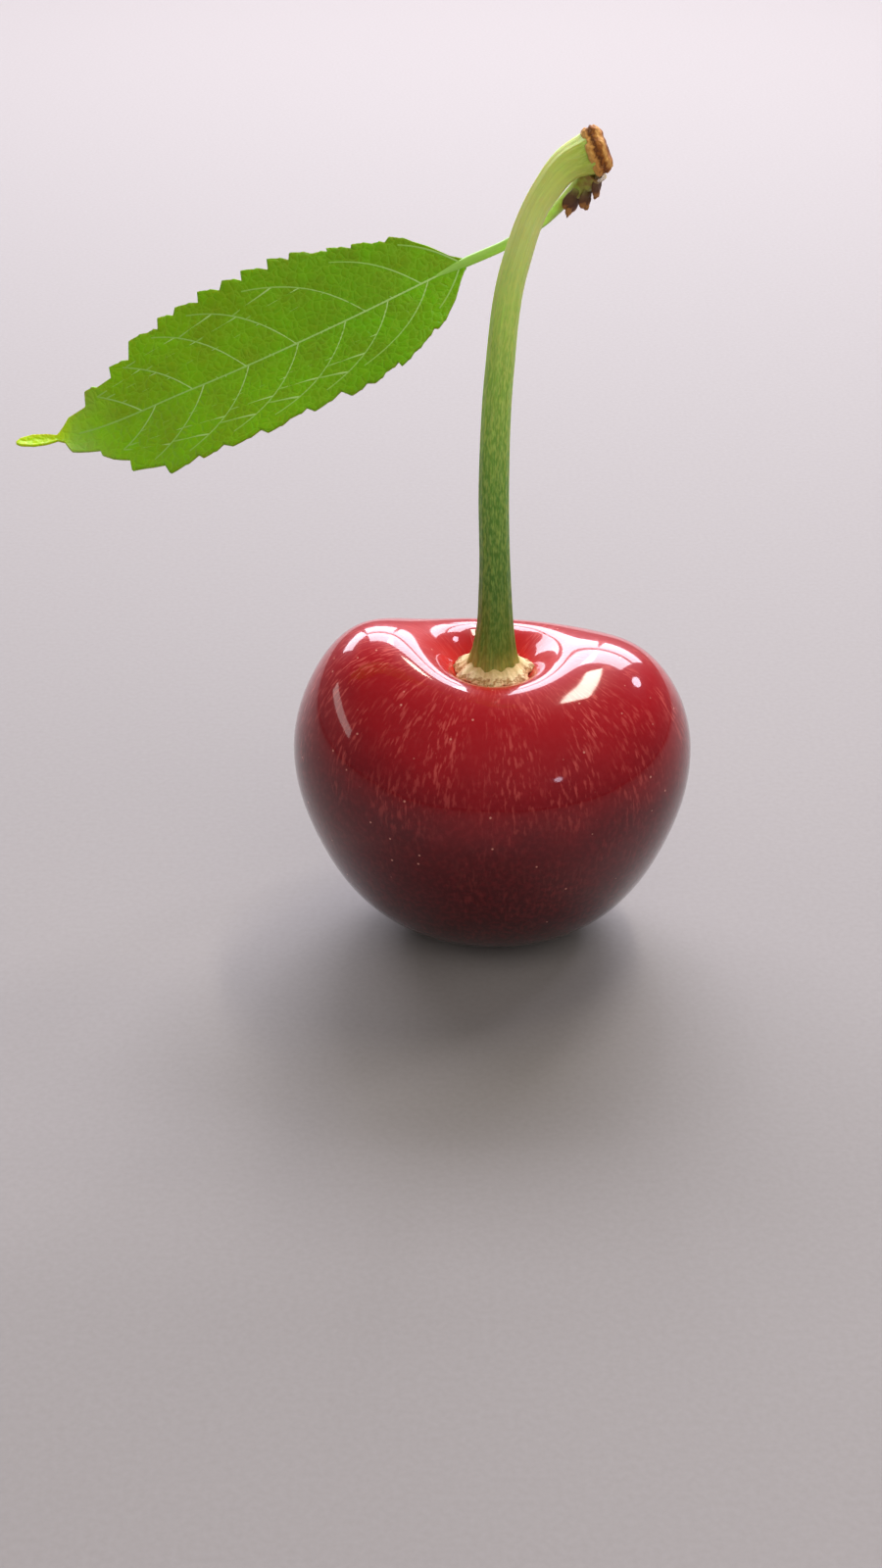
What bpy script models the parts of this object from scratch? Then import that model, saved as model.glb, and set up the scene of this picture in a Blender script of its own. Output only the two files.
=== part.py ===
"""Sweet cherry as picked: fruit, stem, dried receptacle ring, corky scar, leaf and bud scales.

Metres, +Z up. The origin is the middle of the flat spot that the fruit stands on.
+X is the side that the stem's top end leans to; the leaf hangs towards -X.
"""

import math

import bmesh
import bpy
import numpy as np
from mathutils import Matrix, Vector

MM = 0.001
GAP = 0.3 * MM

# Fruit: a heart-shaped drupe. Its meridian is a polynomial in the cosine of the polar angle.
FRUIT_RADIUS = 13.4 * MM
FRUIT_DEPTH_SHARE = 0.82
FRUIT_GIRTH_TERMS = (1.0, 0.12, -0.05, -0.28)
FRUIT_MIDDLE_HEIGHT = 11.88 * MM
FRUIT_HALF_HEIGHT = 12.3 * MM
FRUIT_HEIGHT_TERMS = (0.0, 1.0, -0.07, -0.085)
FRUIT_LEAN = (-0.18 * MM, 0.02 * MM)

# Stem cavity, and the two shoulders on either side of it.
CAVITY_DEPTH = 4.75 * MM
CAVITY_RADIUS = 3.25 * MM
SHOULDERS = ((-11.0 * MM, 4.9 * MM), (12.6 * MM, 3.6 * MM))
SHOULDER_SPREAD = (5.15 * MM, 12.0 * MM)

# Stem: x, y, z and radius at each point, from the foot in the cavity to the swollen top end.
STEM_ROWS = (
    (0.0, 0.0, 18.95, 1.30),
    (0.0, 0.0, 20.2, 1.70),
    (0.05, 0.0, 22.8, 1.20),
    (0.0, 0.0, 26.1, 1.04),
    (-0.15, 0.15, 33.6, 0.97),
    (0.1, 0.4, 40.6, 0.91),
    (0.97, 0.65, 47.4, 0.88),
    (2.72, 0.87, 51.95, 0.86),
    (4.2, 0.9, 53.72, 1.05),
    (5.45, 0.9, 54.3, 1.34),
)
STEM_STATIONS = 46

# Receptacle ring round the stem's foot.
RING_HEIGHT = 20.45 * MM
RING_RADIUS = 2.30 * MM
RING_THICKNESS = 0.54 * MM
RING_LOBES = 7
RING_RIPPLE = 0.09 * MM

# Corky scar over the stem's top end.
SCAR_RADIUS = 1.42 * MM
SCAR_FACE_SHARE = 0.86
SCAR_THICKNESS = 0.62 * MM
SCAR_LOBES = 5
SCAR_RIPPLE = 0.05 * MM

# Leaf stalk, from its foot under the stem's top end, behind the stem, to the blade.
STALK_ROWS = (
    (5.2, 1.65, 52.2, 0.50),
    (4.2, 1.95, 51.3, 0.38),
    (2.8, 2.5, 49.6, 0.33),
    (0.5, 2.8, 48.03, 0.32),
    (-2.08, 2.5, 47.0, 0.34),
)

# Leaf blade: points along the midrib, and the way that its upper face looks.
MIDRIB_ROWS = (
    (-2.08, 2.5, 47.0),
    (-10.38, 0.37, 43.54),
    (-18.98, -0.55, 39.91),
    (-27.52, 0.0, 36.45),
    (-30.3, -0.3, 36.22),
)
BLADE_FACING = Vector((-0.17, -0.79, 0.59))
# Share of the midrib's length, and the blade's half-widths above and below the midrib there.
BLADE_OUTLINE = (
    (0.000, 0.28, 0.28),
    (0.050, 1.80, 1.85),
    (0.100, 3.00, 3.05),
    (0.150, 3.50, 3.70),
    (0.220, 4.20, 4.25),
    (0.310, 4.85, 4.40),
    (0.420, 5.00, 4.40),
    (0.520, 4.95, 4.45),
    (0.600, 4.65, 4.40),
    (0.690, 3.85, 4.40),
    (0.760, 2.85, 3.20),
    (0.830, 1.75, 1.55),
    (0.885, 0.95, 0.90),
    (0.915, 0.16, 0.16),
    (0.960, 0.40, 0.40),
    (1.000, 0.14, 0.14),
)
TIP_TWIST = math.radians(75)
WIDEST_HALF = 5.0 * MM
BLADE_CUP = 0.17
BLADE_WAVE = 0.25 * MM
BLADE_THICKNESS = 0.3 * MM
BLADE_STATIONS = 60
TEETH_PER_SIDE = 15
TOOTH_DEPTH = 0.32 * MM
RIB_RADII = (0.30, 0.24, 0.16, 0.11)
RIB_REACH = 0.84
RIB_SINK = 0.12 * MM

# Bud scales at the foot of the leaf stalk: root, tip, width and the way the flake's back looks.
BUD_SCALES = (
    ((4.75, 1.05, 51.50), (4.0, 1.15, 50.4), 0.70, (0.5, -0.7, -0.5)),
    ((5.35, 1.00, 51.60), (5.12, 1.1, 50.8), 0.70, (0.8, -0.5, -0.3)),
    ((6.10, 1.00, 52.60), (5.78, 1.05, 51.7), 0.90, (0.9, -0.4, -0.2)),
)
SCALE_THICKNESS = 0.2 * MM
SCALE_CURL = 0.16 * MM


for old in list(bpy.data.objects):
    bpy.data.objects.remove(old, do_unlink=True)

parts = bpy.data.collections.new("cherry")
cutters = bpy.data.collections.new("cutters")
for collection in (parts, cutters):
    bpy.context.scene.collection.children.link(collection)


def add_object(name, data, collection=parts):
    """Link a new object that holds this mesh or curve."""
    obj = bpy.data.objects.new(name, data)
    collection.objects.link(obj)
    return obj


def finish(obj, material_name, colour, roughness):
    """Give the object its own material and smooth shading."""
    material = bpy.data.materials.new(material_name)
    material.use_nodes = True
    shader = material.node_tree.nodes["Principled BSDF"]
    shader.inputs["Base Color"].default_value = (*colour, 1.0)
    shader.inputs["Roughness"].default_value = roughness
    shader.inputs["Metallic"].default_value = 0.0
    obj.data.materials.clear()
    obj.data.materials.append(material)
    if obj.type == "MESH":
        obj.data.shade_smooth()


def mesh_from(bm, name):
    """Turn a bmesh into a mesh and free it."""
    bmesh.ops.recalc_face_normals(bm, faces=bm.faces)
    mesh = bpy.data.meshes.new(name)
    bm.to_mesh(mesh)
    bm.free()
    return mesh


def smooth_rows(rows, count):
    """Evenly spaced rows on the smooth curve through the given rows of numbers."""
    rows = np.array(rows)
    steps = np.linalg.norm(np.diff(rows[:, :3], axis=0), axis=1)
    along = np.concatenate(([0.0], np.cumsum(steps)))
    slopes = np.gradient(rows, along, axis=0)
    found = []
    for at in np.linspace(0.0, along[-1], count):
        i = min(np.searchsorted(along, at, side="right") - 1, len(rows) - 2)
        span = along[i + 1] - along[i]
        t = (at - along[i]) / span
        found.append(
            (2 * t**3 - 3 * t**2 + 1) * rows[i]
            + (t**3 - 2 * t**2 + t) * span * slopes[i]
            + (3 * t**2 - 2 * t**3) * rows[i + 1]
            + (t**3 - t**2) * span * slopes[i + 1]
        )
    return np.array(found)


def tube(name, rows, collection, resolution=3):
    """A closed tube along rows of x, y, z and radius in millimetres, as a curve object."""
    curve = bpy.data.curves.new(name, "CURVE")
    curve.dimensions = "3D"
    curve.bevel_depth = MM
    curve.bevel_resolution = resolution
    curve.use_fill_caps = True
    spline = curve.splines.new("POLY")
    spline.points.add(len(rows) - 1)
    for point, (x, y, z, radius) in zip(spline.points, rows):
        point.co = (x * MM, y * MM, z * MM, 1.0)
        point.radius = radius
    return add_object(name, curve, collection)


def mesh_of_curve(curve_object, collection):
    """Replace a curve object by a mesh object of the same name with its caps welded."""
    name = curve_object.name
    graph = bpy.context.evaluated_depsgraph_get()
    mesh = bpy.data.meshes.new_from_object(curve_object.evaluated_get(graph))
    place = curve_object.matrix_world.copy()
    bpy.data.objects.remove(curve_object, do_unlink=True)
    bm = bmesh.new()
    bm.from_mesh(mesh)
    bmesh.ops.remove_doubles(bm, verts=bm.verts, dist=0.01 * MM)
    bmesh.ops.recalc_face_normals(bm, faces=bm.faces)
    bm.to_mesh(mesh)
    bm.free()
    obj = add_object(name, mesh, collection)
    obj.matrix_world = place
    return obj


def polynomial(terms, value):
    """The sum of terms[i] * value**i."""
    return sum(term * value**power for power, term in enumerate(terms))


def fruit_point(direction):
    """The point of the fruit's skin that a unit direction from its middle becomes."""
    c = max(-1.0, min(1.0, direction.z))
    girth = FRUIT_RADIUS * polynomial(FRUIT_GIRTH_TERMS, c)
    x = girth * direction.x
    y = girth * direction.y * FRUIT_DEPTH_SHARE
    z = FRUIT_MIDDLE_HEIGHT + FRUIT_HALF_HEIGHT * polynomial(FRUIT_HEIGHT_TERMS, c)
    upper = ((1.0 + c) / 2.0) ** 3
    z -= upper * CAVITY_DEPTH * math.exp(-(x * x + y * y) / CAVITY_RADIUS**2)
    for middle, rise in SHOULDERS:
        away = ((x - middle) / SHOULDER_SPREAD[0]) ** 2 + (y / SHOULDER_SPREAD[1]) ** 2
        z += upper * rise * math.exp(-away)
    lean = FRUIT_LEAN[0] * c + FRUIT_LEAN[1] * (c * c - 1.0)
    return Vector((x + lean, y, z))


def build_fruit():
    bm = bmesh.new()
    bmesh.ops.create_uvsphere(bm, u_segments=60, v_segments=40, radius=1.0)
    for vertex in bm.verts:
        vertex.co = fruit_point(vertex.co)
    whole = bm.verts[:] + bm.edges[:] + bm.faces[:]
    cut = bmesh.ops.bisect_plane(
        bm,
        geom=whole,
        dist=0.001 * MM,
        plane_co=(0, 0, 0),
        plane_no=(0, 0, -1),
        clear_outer=True,
    )
    rim = [item for item in cut["geom_cut"] if isinstance(item, bmesh.types.BMEdge)]
    bmesh.ops.edgeloop_fill(bm, edges=rim)
    obj = add_object("fruit", mesh_from(bm, "fruit"))
    finish(obj, "cherry_skin", (0.30, 0.004, 0.010), 0.18)
    obj.data.set_sharp_from_angle(angle=math.radians(50))


def build_stem():
    obj = tube("stem", smooth_rows(STEM_ROWS, STEM_STATIONS), parts, resolution=4)
    finish(obj, "stem_skin", (0.16, 0.30, 0.05), 0.45)


def build_ring():
    bpy.ops.mesh.primitive_torus_add(
        major_segments=42,
        minor_segments=10,
        major_radius=RING_RADIUS,
        minor_radius=RING_THICKNESS / 2,
    )
    obj = bpy.context.object
    for linked in list(obj.users_collection):
        linked.objects.unlink(obj)
    parts.objects.link(obj)
    obj.name = "receptacle_ring"
    obj.location = (0.0, 0.0, RING_HEIGHT)
    for vertex in obj.data.vertices:
        angle = math.atan2(vertex.co.y, vertex.co.x)
        vertex.co.z += RING_RIPPLE * math.sin(RING_LOBES * angle)
    finish(obj, "dried_receptacle", (0.55, 0.38, 0.14), 0.8)


def build_scar():
    ends = [Vector(row[:3]) * MM for row in smooth_rows(STEM_ROWS, STEM_STATIONS)[-2:]]
    axis = (ends[1] - ends[0]).normalized()
    bm = bmesh.new()
    bmesh.ops.create_cone(
        bm,
        cap_ends=True,
        segments=30,
        radius1=SCAR_RADIUS,
        radius2=SCAR_RADIUS * SCAR_FACE_SHARE,
        depth=SCAR_THICKNESS,
    )
    for vertex in bm.verts:
        angle = math.atan2(vertex.co.y, vertex.co.x)
        swell = 1.0 + SCAR_RIPPLE / SCAR_RADIUS * math.sin(SCAR_LOBES * angle)
        vertex.co.x *= swell
        vertex.co.y *= swell
    obj = add_object("stem_scar", mesh_from(bm, "stem_scar"))
    obj.location = ends[1] + axis * (GAP + SCAR_THICKNESS / 2)
    obj.rotation_euler = axis.to_track_quat("Z", "Y").to_euler()
    finish(obj, "corky_scar", (0.30, 0.13, 0.04), 0.85)
    obj.data.set_sharp_from_angle(angle=math.radians(50))


def smooth_step(low, high, value):
    """0 below low, 1 above high, and smooth between."""
    t = max(0.0, min(1.0, (value - low) / (high - low)))
    return t * t * (3.0 - 2.0 * t)


def tooth(along):
    """How far a forward-pointing tooth stands out of the margin at this share of the length."""
    fade = smooth_step(0.03, 0.10, along) * (1.0 - smooth_step(0.78, 0.86, along))
    return fade * TOOTH_DEPTH * ((along * TEETH_PER_SIDE) % 1.0 - 0.5)


def blade_frame(path, station):
    """The midrib's point, the direction across the blade and the blade's normal there."""
    before = Vector(path[max(station - 1, 0)])
    after = Vector(path[min(station + 1, len(path) - 1)])
    tangent = (after - before).normalized()
    across = tangent.cross(BLADE_FACING).normalized()
    share = station / (len(path) - 1)
    turn = Matrix.Rotation(TIP_TWIST * smooth_step(0.80, 1.0, share), 3, tangent)
    across = turn @ across
    return Vector(path[station]) * MM, across, across.cross(tangent).normalized()


def build_leaf():
    path = smooth_rows(MIDRIB_ROWS, BLADE_STATIONS + 1)
    shares, upper, lower = zip(*BLADE_OUTLINE)
    bm = bmesh.new()
    bmesh.ops.create_grid(bm, x_segments=BLADE_STATIONS, y_segments=8, size=0.5)
    for vertex in bm.verts:
        station = round((vertex.co.x + 0.5) * BLADE_STATIONS)
        side = 2.0 * vertex.co.y
        share = station / BLADE_STATIONS
        middle, across, normal = blade_frame(path, station)
        half = np.interp(share, shares, upper if side > 0 else lower) * MM
        reach = side * half
        if abs(side) > 0.99:
            reach += math.copysign(tooth(share), side)
        wave = BLADE_WAVE * math.sin(math.tau * 2.6 * share + side) * abs(side) ** 3
        wave *= half / WIDEST_HALF
        lift = BLADE_CUP * half * abs(side) ** 1.5 + wave
        vertex.co = middle + across * reach + normal * lift
    leaf = add_object("leaf", mesh_from(bm, "leaf"))
    thicken = leaf.modifiers.new("blade thickness", "SOLIDIFY")
    thicken.thickness = BLADE_THICKNESS
    thicken.offset = 0.0

    rib = []
    for index, radius in enumerate(RIB_RADII, start=1):
        station = round(RIB_REACH * index / len(RIB_RADII) * BLADE_STATIONS)
        middle, _, normal = blade_frame(path, station)
        rib.append((*((middle - normal * RIB_SINK) / MM), radius))
    stalk = tube("leaf_stalk", smooth_rows(STALK_ROWS + tuple(rib), 48), cutters, resolution=2)
    stalk = mesh_of_curve(stalk, cutters)
    stalk.hide_render = True
    stalk.display_type = "WIRE"
    join = leaf.modifiers.new("join the stalk and midrib", "BOOLEAN")
    join.operation = "UNION"
    join.solver = "EXACT"
    join.object = stalk
    finish(leaf, "leaf_blade", (0.10, 0.27, 0.005), 0.4)


def build_bud_scale(number, root, tip, width, facing):
    """One dried flake: a small pointed sheet, curled along its length."""
    root = Vector(root) * MM
    tip = Vector(tip) * MM
    along = (tip - root).normalized()
    across = along.cross(Vector(facing)).normalized()
    out = across.cross(along).normalized()
    bm = bmesh.new()
    bmesh.ops.create_grid(bm, x_segments=8, y_segments=4, size=0.5)
    for vertex in bm.verts:
        share = vertex.co.x + 0.5
        half = 0.5 * width * MM * (0.3 + 0.7 * math.sin(math.pi * (0.15 + 0.8 * share)))
        side = 2.0 * vertex.co.y
        curl = SCALE_CURL * (math.sin(math.pi * share) + 0.6 * side * side)
        middle = root.lerp(tip, share)
        vertex.co = middle + across * (half * side) + out * curl
    flake = add_object(f"bud_scale_{number}", mesh_from(bm, f"bud_scale_{number}"))
    thicken = flake.modifiers.new("flake thickness", "SOLIDIFY")
    thicken.thickness = SCALE_THICKNESS
    thicken.offset = 0.0
    finish(flake, f"dried_scale_{number}", (0.07, 0.022, 0.012), 0.8)


build_fruit()
build_stem()
build_ring()
build_scar()
build_leaf()
for scale_number, scale in enumerate(BUD_SCALES, start=1):
    build_bud_scale(scale_number, *scale)
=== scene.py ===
"""The looks of a sweet cherry as picked: fruit, receptacle, stem, corky scar, leaf and bud scales.

Metres, +Z up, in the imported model's frame: the cherry stands at the origin on its blossom end,
with its stem leaning towards +X and its leaf hanging towards -X.
"""

import math

import bpy
import numpy as np
from mathutils import Matrix, Quaternion, Vector, noise


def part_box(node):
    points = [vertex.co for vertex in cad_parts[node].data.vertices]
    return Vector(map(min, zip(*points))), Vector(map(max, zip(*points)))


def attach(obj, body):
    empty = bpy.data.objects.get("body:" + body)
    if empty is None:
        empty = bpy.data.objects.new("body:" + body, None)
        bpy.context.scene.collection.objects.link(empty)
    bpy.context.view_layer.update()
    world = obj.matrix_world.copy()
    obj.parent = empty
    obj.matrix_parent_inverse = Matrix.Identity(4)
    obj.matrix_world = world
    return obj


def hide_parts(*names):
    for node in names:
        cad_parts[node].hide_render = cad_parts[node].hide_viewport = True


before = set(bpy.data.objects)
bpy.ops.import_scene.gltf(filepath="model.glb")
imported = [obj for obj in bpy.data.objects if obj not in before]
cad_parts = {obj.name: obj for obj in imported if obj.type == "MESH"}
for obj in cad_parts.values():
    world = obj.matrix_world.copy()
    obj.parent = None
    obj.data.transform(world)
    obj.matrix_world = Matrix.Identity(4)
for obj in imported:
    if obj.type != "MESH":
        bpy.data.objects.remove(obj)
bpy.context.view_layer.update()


# ---------------------------------------------------------------------------------------------
# Stage: a pale matt board under the cherry, a soft window of five panes behind it, and a few
# small lamps, whose reflections show how glossy the skin is. A fill lifts the shade in front,
# and the camera looks down on the front of the fruit from 16 cm away.

scene = bpy.context.scene
MM = 0.001
NOISE = "ShaderNodeTexNoise"
MIX = "ShaderNodeMix"


def linear(code):
    """The linear RGBA colour of an sRGB hex value."""
    shares = [int(code[at : at + 2], 16) / 255 for at in (1, 3, 5)]
    return (*(s / 12.92 if s <= 0.04045 else ((s + 0.055) / 1.055) ** 2.4 for s in shares), 1.0)


def feed(tree, value, socket):
    """Give a socket a value, or a link from another socket or from a node's first output."""
    if isinstance(value, bpy.types.Node):
        value = next(s for s in value.outputs if s.enabled)
    if isinstance(value, bpy.types.NodeSocket):
        tree.links.new(value, socket)
    else:
        socket.default_value = value


def add(tree, kind, inputs=None, stops=(), **settings):
    """Add a node with its settings and colour stops. Each input gets a value or a link."""
    node = tree.nodes.new(kind)
    for name, value in settings.items():
        setattr(node, name, value)
    for name, value in (inputs or {}).items():
        socket = node.inputs[name]
        if isinstance(name, str):
            socket = next(s for s in node.inputs if s.enabled and s.name == name)
        feed(tree, value, socket)
    while stops and len(node.color_ramp.elements) < len(stops):
        node.color_ramp.elements.new(0.5)
    for number, (at, colour) in enumerate(stops):
        node.color_ramp.elements[number].position = at
        node.color_ramp.elements[number].color = linear(colour)
    return node


def new_material(name, values):
    """A new material, its node tree and its Principled shader with these constant values."""
    material = bpy.data.materials.new(name)
    material.use_nodes = True
    shader = material.node_tree.nodes["Principled BSDF"]
    for label, value in values.items():
        shader.inputs[label].default_value = value
    return material, material.node_tree, shader


FLOOR_HALF = 3.0
floor_mesh = bpy.data.meshes.new("floor")
corners = [(x * FLOOR_HALF, y * FLOOR_HALF, 0.0) for x, y in ((-1, -1), (1, -1), (1, 1), (-1, 1))]
floor_mesh.from_pydata(corners, [], [(0, 1, 2, 3)])
floor = bpy.data.objects.new("floor", floor_mesh)
scene.collection.objects.link(floor)

# Pale matt board: an even warm grey with a faint tooth, 0.4 mm across.
board, tree, shader = new_material("pale matt board", {"Roughness": 0.7})
place = add(tree, "ShaderNodeTexCoord").outputs["Object"]
tooth_noise = add(tree, NOISE, {"Vector": place, "Scale": 1 / (0.4 * MM), "Detail": 2.0})
shade = add(
    tree,
    MIX,
    {"Factor": tooth_noise, "A": linear("#8C8480"), "B": linear("#968E8A")},
    data_type="RGBA",
)
feed(tree, shade, shader.inputs["Base Color"])
floor_mesh.materials.append(board)

world = bpy.data.worlds.new("soft room light")
world.use_nodes = True
backdrop = world.node_tree.nodes["Background"]
backdrop.inputs["Color"].default_value = linear("#D5D8DE")
backdrop.inputs["Strength"].default_value = 0.26
scene.world = world
scene.view_settings.view_transform = "Standard"

# Lamps: name, azimuth (0 is behind the cherry, 90 is to its right), elevation, roll, width and
# height in metres, radiance and colour.
LAMP_DISTANCE = 0.45
LIT_POINT = Vector((0.0, 0.0, 20 * MM))
LAMPS = (
    ("window pane, left", -32, 27, 0, 0.200, 0.130, 10.5, "#F0F1FF"),
    ("window pane, middle low", -3, 24, 0, 0.180, 0.110, 9.0, "#F0F1FF"),
    ("window pane, middle high", -3, 42, 0, 0.180, 0.130, 12.5, "#F0F1FF"),
    ("window pane, right low", 23, 24, 0, 0.180, 0.110, 9.0, "#F0F1FF"),
    ("window pane, right high", 24, 42, 0, 0.180, 0.130, 12.5, "#F0F1FF"),
    ("skylight strip", 40, 64, -38, 0.180, 0.034, 26.0, "#FFFBEA"),
    ("round lamp", 59, 39, 0, 0.070, 0.070, 14.0, "#E8ECFF"),
    ("small far lamp", 148, 25, 0, 0.034, 0.034, 7.0, "#F2E6FF"),
    ("left tube", -88, 18, 0, 0.280, 0.055, 3.2, "#FFF6F0"),
    ("front fill", 152, 44, 0, 0.600, 0.450, 1.25, "#FFFDF8"),
)
for name, azimuth, elevation, roll, width, height, radiance, colour in LAMPS:
    lamp = bpy.data.lights.new(name, "AREA")
    lamp.shape = "ELLIPSE" if width == height else "RECTANGLE"
    lamp.size = width
    lamp.size_y = height
    lamp.energy = radiance * math.pi * width * height
    lamp.color = linear(colour)[:3]
    holder = bpy.data.objects.new(name, lamp)
    scene.collection.objects.link(holder)
    turn, tilt = math.radians(azimuth), math.radians(elevation)
    away = Vector((math.sin(turn) * math.cos(tilt), math.cos(turn) * math.cos(tilt), math.sin(tilt)))
    holder.location = LIT_POINT + away * LAMP_DISTANCE
    facing = (-away).to_track_quat("-Z", "Y") @ Quaternion((0, 0, 1), math.radians(roll))
    holder.rotation_euler = facing.to_euler()
    holder.visible_camera = False
    # The fill only lifts the shade: it leaves no reflection on the skin.
    holder.visible_glossy = name != "front fill"

CAMERA_PLACE = (-3.5 * MM, -138.5 * MM, 94.4 * MM)
CAMERA_TILT_DOWN = 31.08
camera = bpy.data.objects.new("camera", bpy.data.cameras.new("camera"))
scene.collection.objects.link(camera)
camera.data.lens = 54.0
camera.data.sensor_width = 36.0
camera.data.clip_start = 0.01
camera.data.clip_end = 20.0
camera.location = CAMERA_PLACE
camera.rotation_euler = (math.radians(90 - CAMERA_TILT_DOWN), 0.0, 0.0)
scene.camera = camera


# ---------------------------------------------------------------------------------------------
# Fruit: a ripe drupe with a thin waxed skin over red flesh, grown as one. It is heart-shaped,
# with a deep cavity round the stem between two shoulders, a faint seam down its back, and a
# small flat spot at the blossom end, where it stands.

MATH = "ShaderNodeMath"
VECTOR = "ShaderNodeVectorMath"
RAMP = "ShaderNodeMapRange"

fruit_low, fruit_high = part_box("fruit")
fruit_size = fruit_high - fruit_low
# Terms of the curves that give girth and height from the upward part of the direction.
GIRTH_TERMS = (1.0, 0.12, -0.05, -0.28)
HEIGHT_TERMS = (0.0, 1.0, -0.07, -0.085)


def start_tree(name, sizes):
    """A Geometry Nodes tree with a named input for each size, and its input node."""
    tree = bpy.data.node_groups.new(name, "GeometryNodeTree")
    tree.interface.new_socket("Guide", in_out="INPUT", socket_type="NodeSocketGeometry")
    for label, value in sizes.items():
        kind = "NodeSocketInt" if isinstance(value, int) else "NodeSocketFloat"
        tree.interface.new_socket(label, in_out="INPUT", socket_type=kind)
    tree.interface.new_socket("Piece", in_out="OUTPUT", socket_type="NodeSocketGeometry")
    return tree, add(tree, "NodeGroupInput").outputs


def end_tree(tree, shape, material):
    """Close a tree: real geometry, its material, and the output."""
    real = add(tree, "GeometryNodeRealizeInstances", {"Geometry": shape})
    painted = add(tree, "GeometryNodeSetMaterial", {"Geometry": real, "Material": material})
    add(tree, "NodeGroupOutput", {"Piece": painted})


def keep_plain(piece, modifier):
    """Replace a piece's mesh by what its modifier makes of it, and drop the modifier."""
    graph = bpy.context.evaluated_depsgraph_get()
    made = bpy.data.meshes.new_from_object(piece.evaluated_get(graph))
    piece.modifiers.remove(modifier)
    piece.data = made


def grow(name, tree, sizes, guide=None):
    """Run a tree once on a guide mesh, or on none, and keep the plain mesh that it makes."""
    piece = bpy.data.objects.new(name, guide or bpy.data.meshes.new(name))
    scene.collection.objects.link(piece)
    grower = piece.modifiers.new("grow", "NODES")
    grower.node_group = tree
    for item in tree.interface.items_tree:
        if item.name in sizes:
            grower[item.identifier] = sizes[item.name]
    keep_plain(piece, grower)
    piece.data.name = name
    piece.data.shade_smooth()
    return piece


def hand_in(piece, node):
    """Ride the piece on the one body and hide the CAD node that it stands for."""
    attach(piece, "root")
    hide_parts(node)


def dress(tree, shader, colour, relief, strength, depth, dullness, roughness):
    """Give a shader its colour, a relief so many millimetres deep and a varying roughness."""
    inputs = {"Height": relief, "Strength": strength, "Distance": depth * MM}
    bump = add(tree, "ShaderNodeBump", inputs)
    low, high = roughness
    rough = add(tree, RAMP, {"Value": dullness, "To Min": low, "To Max": high})
    for label, source in (("Base Color", colour), ("Normal", bump), ("Roughness", rough)):
        feed(tree, source, shader.inputs[label])


def stretched_noise(tree, place, stretch, detail, levels, roughness=0.5):
    """Noise scaled by its own factor each way, and how far it is between two levels."""
    scaled = add(tree, VECTOR, {0: place, 1: stretch}, operation="MULTIPLY")
    inputs = {"Vector": scaled, "Scale": 1.0, "Detail": detail, "Roughness": roughness}
    grain = add(tree, NOISE, inputs)
    low, high = levels
    return grain, add(tree, RAMP, {"Value": grain, "From Min": low, "From Max": high})


# Cherry skin: a clear waxy cuticle over red to black-red flesh, so it shows sharp reflections.
# Its black-red below is partly painted shade.
# Pale streaks run down from the cavity, and pale pores, 0.15 mm wide, dot it.
skin, tree, shader = new_material(
    "cherry skin, ripe and waxed",
    {
        "IOR": 1.45,
        "Specular IOR Level": 0.12,
        "Coat Weight": 0.95,
        "Coat Roughness": 0.06,
        "Coat IOR": 1.45,
    },
)
place = add(tree, "ShaderNodeTexCoord").outputs["Object"]
grown = add(tree, "ShaderNodeAttribute", attribute_name="skin").outputs["Vector"]
parts = add(tree, "ShaderNodeSeparateXYZ", {0: grown})
angle_down = add(tree, MATH, {0: parts.outputs["Z"]}, operation="ARCCOSINE")
flat = add(tree, "ShaderNodeCombineXYZ", {"X": parts.outputs["X"], "Y": parts.outputs["Y"]})
around = add(tree, VECTOR, {0: flat}, operation="NORMALIZE")
around_parts = add(tree, "ShaderNodeSeparateXYZ", {0: around})
meridian = add(
    tree,
    "ShaderNodeCombineXYZ",
    {"X": around_parts.outputs["X"], "Y": around_parts.outputs["Y"], "Z": angle_down},
)

# Ripeness: orange-red where the stem shaded it, bright red on the shoulders, black-red below.
# The bright top is partly painted light, and the black-red bottom partly painted shade.
blotch = add(tree, NOISE, {"Vector": place, "Scale": 1 / (6 * MM), "Detail": 3.0})
shifted = add(tree, MATH, {0: blotch, 1: 0.5, 2: angle_down}, operation="MULTIPLY_ADD")
down_share = add(tree, RAMP, {"Value": shifted, "From Min": 0.25, "From Max": 3.39})
RIPE_AND_SHADE_STOPS = (
    (0.00, "#D3351C"),
    (0.09, "#CB2017"),
    (0.17, "#AD0D17"),
    (0.30, "#A90815"),
    (0.385, "#890713"),
    (0.475, "#5E0611"),
    (0.70, "#40050D"),
    (1.00, "#270408"),
)
ripeness_and_shade = add(tree, "ShaderNodeValToRGB", {"Fac": down_share}, RIPE_AND_SHADE_STOPS)

# Streaks: 0.25 mm wide and just under 1 mm long, in patches, strongest on the upper half.
streaks = stretched_noise(tree, meridian, (52.0, 52.0, 15.0), 2.0, (0.52, 0.66))[1]
patches = stretched_noise(tree, meridian, (5.0, 5.0, 3.0), 1.0, (0.35, 0.65))[1]
fading = add(tree, RAMP, {"Value": angle_down, "From Min": 1.5, "From Max": 1.05, "To Min": 0.16})
strength = add(tree, MATH, {0: patches, 1: fading}, operation="MULTIPLY")
streak_share = add(tree, MATH, {0: streaks, 1: strength}, operation="MULTIPLY")
streak_mix = add(tree, MATH, {0: streak_share, 1: 0.5}, operation="MULTIPLY")
streaked = add(
    tree, MIX, {"Factor": streak_mix, "A": ripeness_and_shade, "B": linear("#EE6A60")}, data_type="RGBA"
)

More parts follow.
